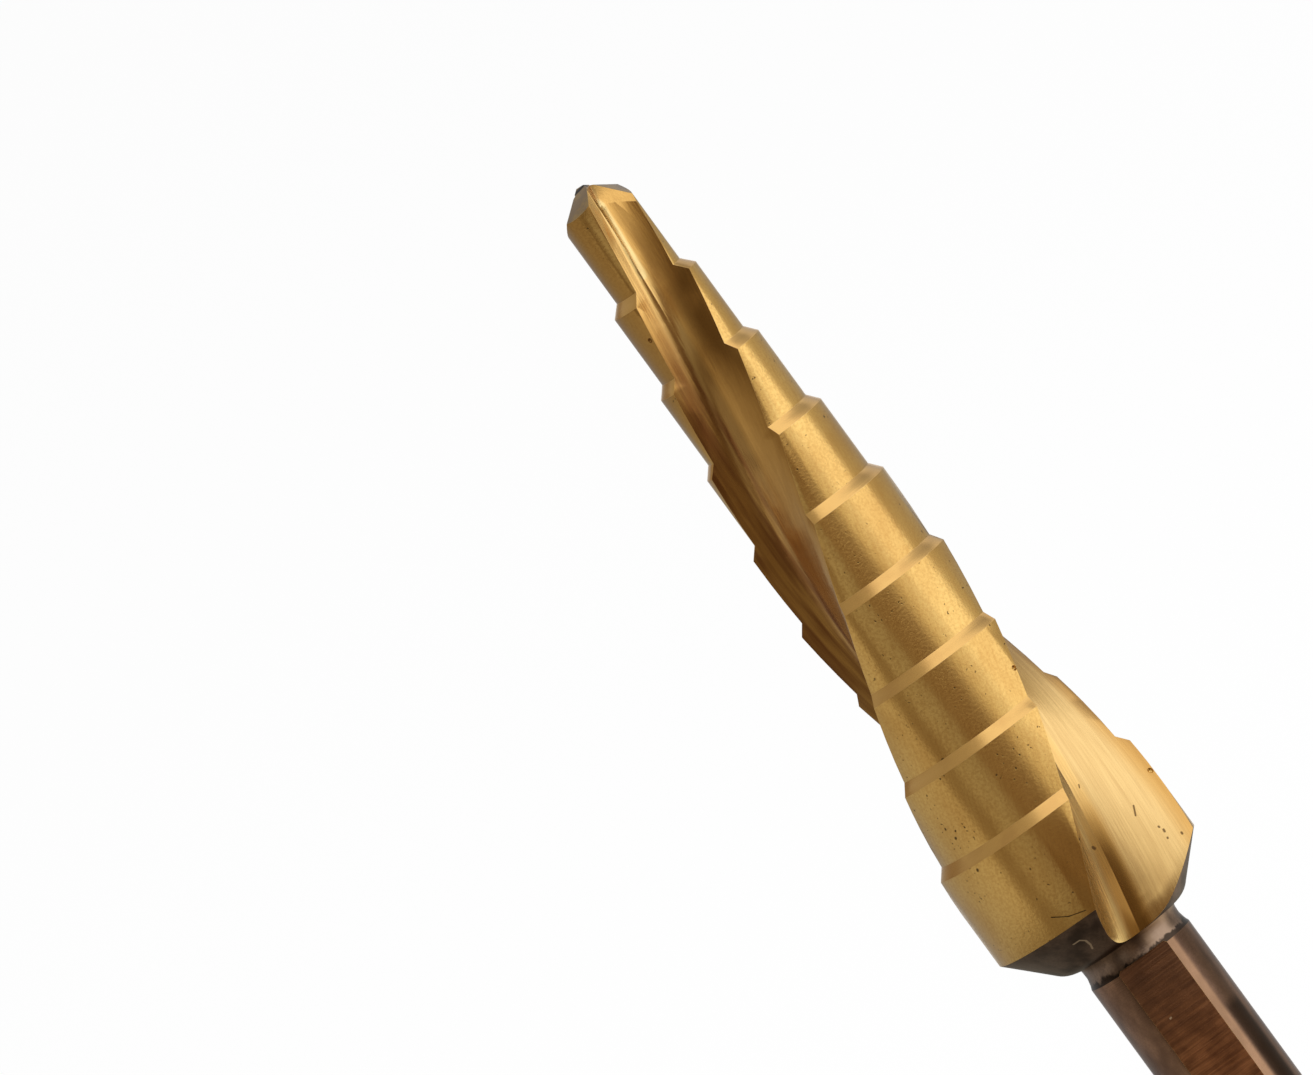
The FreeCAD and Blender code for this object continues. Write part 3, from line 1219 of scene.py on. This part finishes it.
LOW_TIER = Tier(
    -90.0,
    (
        (-180, 0.3, Cloth.CREAM),
        (-50, 0.25, Cloth.TAN),
        (28, 0.18, Cloth.BROWN),
        (70, 0.65, Cloth.TAN),
        (84, 1.1, Cloth.CREAM),
        (130, 1.0, Cloth.CREAM),
        (160, 0.5, Cloth.CREAM),
        (180, 0.3, Cloth.CREAM),
    ),
)
LEVEL_TIER = Tier(
    -13.0,
    (
        (-180, 0.75, Cloth.WHITE),
        (-170, 0.7, Cloth.WHITE),
        (-160, 0.35, Cloth.WHITE),
        (-125, 0.45, Cloth.WHITE),
        (-63, 0.65, Cloth.CREAM),
        (-58, 0.32, Cloth.TAN),
        (-44, 0.32, Cloth.TAN),
        (-40, 0.5, Cloth.CREAM),
        (-16, 0.4, Cloth.CREAM),
        (-14, 0.24, Cloth.BROWN),
        (17, 0.22, Cloth.BROWN),
        (32, 0.9, Cloth.CREAM),
        (47, 1.05, Cloth.WHITE),
        (52, 1.4, Cloth.WHITE),
        (85, 1.4, Cloth.WHITE),
        (91, 0.65, Cloth.CREAM),
        (160, 0.4, Cloth.WHITE),
        (172, 0.95, Cloth.WHITE),
        (180, 0.95, Cloth.WHITE),
    ),
)
MIDDLE_TIER = Tier(
    13.0,
    (
        (-180, 0.4, Cloth.WHITE),
        (-140, 0.32, Cloth.TAN),
        (-65, 0.28, Cloth.TAN),
        (-50, 0.14, Cloth.BROWN),
        (-30, 0.14, Cloth.BROWN),
        (-18, 0.3, Cloth.BROWN),
        (-2, 0.9, Cloth.CREAM),
        (50, 1.35, Cloth.WHITE),
        (100, 1.4, Cloth.WHITE),
        (142, 0.65, Cloth.WHITE),
        (180, 0.4, Cloth.WHITE),
    ),
)
HIGH_TIER = Tier(
    30.0,
    (
        (-180, 0.5, Cloth.WHITE),
        (-84, 0.42, Cloth.CREAM),
        (-6, 0.5, Cloth.CREAM),
        (4, 1.2, Cloth.WHITE),
        (90, 1.2, Cloth.WHITE),
        (104, 0.65, Cloth.WHITE),
        (130, 0.35, Cloth.WHITE),
        (180, 0.5, Cloth.WHITE),
    ),
)


@dataclass(frozen=True)
class Lamp:
    """A square soft lamp: its name, its place and side in metres, and its power in watts."""

    name: str
    place: tuple[float, float, float]
    size: float
    power: float


@dataclass
class Studio:
    """The floor, the plain white surroundings, the tent and the soft lamps.

    Lengths are in metres, and the tent's blend between two tiers is in degrees.
    """

    floor_size: float = 8.0
    floor_glow: float = 0.92
    board: str = "F3F3F3"
    soft_light: float = 0.7
    tent_radius: float = 0.7
    tent_segments: int = 48
    tent_rings: int = 24
    tent_blend: float = 3.0
    tent_strength: float = 2.0
    tiers: tuple[Tier, ...] = (LOW_TIER, LEVEL_TIER, MIDDLE_TIER, HIGH_TIER)
    lamps: tuple[Lamp, ...] = (
        Lamp("key", (0.9, -0.9, 1.4), 1.0, 14.0),
        Lamp("fill", (-1.1, -0.7, 1.0), 1.2, 8.0),
    )

    def build(self) -> None:
        """Set up the whole studio."""
        self.lay_floor()
        self.light_surroundings()
        self.pitch_tent()
        for lamp in self.lamps:
            self.hang(lamp)

    def lay_floor(self) -> None:
        """Lay a pale floor that keeps the drill's shadow and stays out of the metal's gloss."""
        bpy.ops.mesh.primitive_plane_add(size=self.floor_size)
        floor = bpy.context.object
        floor.name = "floor"
        floor.visible_glossy = False
        floor.data.materials.append(self.make_board())

    def make_board(self) -> bpy.types.Material:
        """Make the floor's matt board, which the camera sees as nearly white.

        Returns:
            The board's material.
        """
        material = bpy.data.materials.new("matt_white_board")
        add = partial(add_node, blank_tree(material))
        path = add("ShaderNodeLightPath")
        glow = add("ShaderNodeEmission", inputs={"Color": WHITE, "Strength": 1.0})
        board = add("ShaderNodeBsdfDiffuse", inputs={"Color": to_linear(self.board)})
        share = add(
            "ShaderNodeMath",
            {"operation": "MULTIPLY"},
            {0: path.outputs["Is Camera Ray"], 1: self.floor_glow},
        )
        mixed = add(
            "ShaderNodeMixShader",
            inputs={0: share.outputs[0], 1: board.outputs[0], 2: glow.outputs[0]},
        )
        add("ShaderNodeOutputMaterial", inputs={"Surface": mixed.outputs[0]})
        return material

    def light_surroundings(self) -> None:
        """Make the surroundings white where the camera and the metal look, and soft elsewhere."""
        world = bpy.data.worlds.new("white_surroundings")
        bpy.context.scene.world = world
        add = partial(add_node, blank_tree(world))
        path = add("ShaderNodeLightPath")
        seen = add(
            "ShaderNodeMath",
            {"operation": "MAXIMUM"},
            {0: path.outputs["Is Camera Ray"], 1: path.outputs["Is Glossy Ray"]},
        )
        through = add(
            "ShaderNodeMath",
            {"operation": "MAXIMUM"},
            {0: seen.outputs[0], 1: path.outputs["Is Transmission Ray"]},
        )
        white = add("ShaderNodeBackground", inputs={"Color": WHITE, "Strength": 1.0})
        soft = add("ShaderNodeBackground", inputs={"Color": WHITE, "Strength": self.soft_light})
        mixed = add(
            "ShaderNodeMixShader",
            inputs={0: through.outputs[0], 1: soft.outputs[0], 2: white.outputs[0]},
        )
        add("ShaderNodeOutputWorld", inputs={"Surface": mixed.outputs[0]})

    def pitch_tent(self) -> None:
        """Pitch a round tent of glowing cloth, seen by nothing but the metal's gloss."""
        bpy.ops.mesh.primitive_uv_sphere_add(
            segments=self.tent_segments,
            ring_count=self.tent_rings,
            radius=self.tent_radius,
            location=(0, 0, MIDDLE_HEIGHT),
        )
        tent = bpy.context.object
        tent.name = "light_tent"
        for flag in ("visible_camera", "visible_diffuse", "visible_shadow", "visible_transmission"):
            setattr(tent, flag, False)
        tent.data.materials.append(self.make_cloth())

    def make_cloth(self) -> bpy.types.Material:
        """Make the tent's cloth, which glows by the direction from the drill.

        Returns:
            The cloth's material.
        """
        material = bpy.data.materials.new("glowing_cloth")
        add = partial(add_node, blank_tree(material))
        local = add("ShaderNodeTexCoord").outputs["Object"]
        side = add("ShaderNodeVectorMath", {"operation": "NORMALIZE"}, {0: local})
        parts = add("ShaderNodeSeparateXYZ", inputs={0: side.outputs[0]})
        toward = add("ShaderNodeMath", {"operation": "MULTIPLY"}, {0: parts.outputs["Y"], 1: -1.0})
        azimuth = add(
            "ShaderNodeMath",
            {"operation": "ARCTAN2"},
            {0: parts.outputs["X"], 1: toward.outputs[0]},
        )
        around = add(
            "ShaderNodeMath",
            {"operation": "MULTIPLY_ADD"},
            {0: azimuth.outputs[0], 1: 0.5 / math.pi, 2: 0.5},
        )
        colour = None
        for tier in self.tiers:
            # A ramp goes once round the drill from 0 to 1, and a new one has two stops.
            ramp = add("ShaderNodeValToRGB", inputs={0: around.outputs[0]})
            stops = ramp.color_ramp.elements
            for number, (place, level, cloth) in enumerate(tier.cloths):
                stop = stops[number] if number < 2 else stops.new(1.0)
                stop.position = place / 360 + 0.5
                light = [part * level / self.tent_strength for part in to_linear(cloth.value)[:3]]
                stop.color = (*light, 1)
            if colour is None:
                colour = ramp.outputs[0]
                continue
            low = math.sin(math.radians(tier.bottom - self.tent_blend))
            high = math.sin(math.radians(tier.bottom + self.tent_blend))
            share = add(
                "ShaderNodeMapRange",
                {"interpolation_type": "SMOOTHSTEP"},
                {"Value": parts.outputs["Z"], "From Min": low, "From Max": high},
            )
            mixed = add(
                "ShaderNodeMix",
                {"data_type": "RGBA"},
                {"Factor": share.outputs[0], 6: colour, 7: ramp.outputs[0]},
            )
            colour = mixed.outputs[2]
        glow = add("ShaderNodeEmission", inputs={"Color": colour, "Strength": self.tent_strength})
        add("ShaderNodeOutputMaterial", inputs={"Surface": glow.outputs[0]})
        return material

    def hang(self, lamp: Lamp) -> None:
        """Hang a lamp that points at the drill's middle.

        Args:
            lamp: The lamp.
        """
        data = bpy.data.lights.new(lamp.name, "AREA")
        data.shape = "SQUARE"
        data.size = lamp.size
        data.energy = lamp.power
        light = bpy.data.objects.new(lamp.name, data)
        light.location = lamp.place
        aim = Vector((0, 0, MIDDLE_HEIGHT)) - Vector(lamp.place)
        light.rotation_mode = "QUATERNION"
        light.rotation_quaternion = aim.to_track_quat("-Z", "Y")
        light.visible_glossy = False
        bpy.context.scene.collection.objects.link(light)


@dataclass(frozen=True)
class PhotoCamera:
    """The camera, turned on its side as the photograph shows the drill.

    Distances are in metres, angles in degrees, and the focal length and the place on the picture
    of the point that it aims at are in the photograph's pixels.
    """

    distance: float = 1.5
    elevation: float = 4.6
    roll: float = 36.13
    focal_pixels: float = 30105.0
    aim_pixel: tuple[float, float] = (934.0, 672.5)
    nearest: float = 0.01
    farthest: float = 50.0

    def build(self) -> None:
        """Make the camera and hand it to the scene."""
        tilt = math.radians(self.elevation)
        roll = math.radians(self.roll)
        forward = Vector((0, math.cos(tilt), -math.sin(tilt)))
        level = Vector((0, math.sin(tilt), math.cos(tilt)))
        right = Vector((1, 0, 0)) * math.cos(roll) - level * math.sin(roll)
        up = Vector((1, 0, 0)) * math.sin(roll) + level * math.cos(roll)
        place = Vector((0, 0, MIDDLE_HEIGHT)) - forward * self.distance
        across = (PHOTO_WIDTH / 2 - self.aim_pixel[0]) / self.focal_pixels
        above = (self.aim_pixel[1] - PHOTO_HEIGHT / 2) / self.focal_pixels
        view = (forward + right * across + up * above).normalized()
        side = view.cross(up).normalized()
        top = side.cross(view)
        data = bpy.data.cameras.new("photo_camera")
        data.sensor_width = SENSOR_WIDTH
        data.lens = self.focal_pixels * SENSOR_WIDTH / PHOTO_WIDTH
        data.clip_start = self.nearest
        data.clip_end = self.farthest
        camera = bpy.data.objects.new("photo_camera", data)
        bpy.context.scene.collection.objects.link(camera)
        turn = Matrix((side, top, -view)).transposed()
        camera.matrix_world = Matrix.Translation(place) @ turn.to_4x4()
        bpy.context.scene.camera = camera


def main() -> None:
    """Build the camera, the drill and the studio, hang the drill on the root body and hide the solid
    it was copied from.
    """
    PhotoCamera().build()
    drill = CuttingTool().build()
    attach(drill, "root")
    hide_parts("step_drill")
    log.info("%s: %d faces", drill.name, len(drill.data.polygons))
    Studio().build()
    bpy.context.scene.view_settings.view_transform = "Standard"


if __name__ == "__main__":
    main()
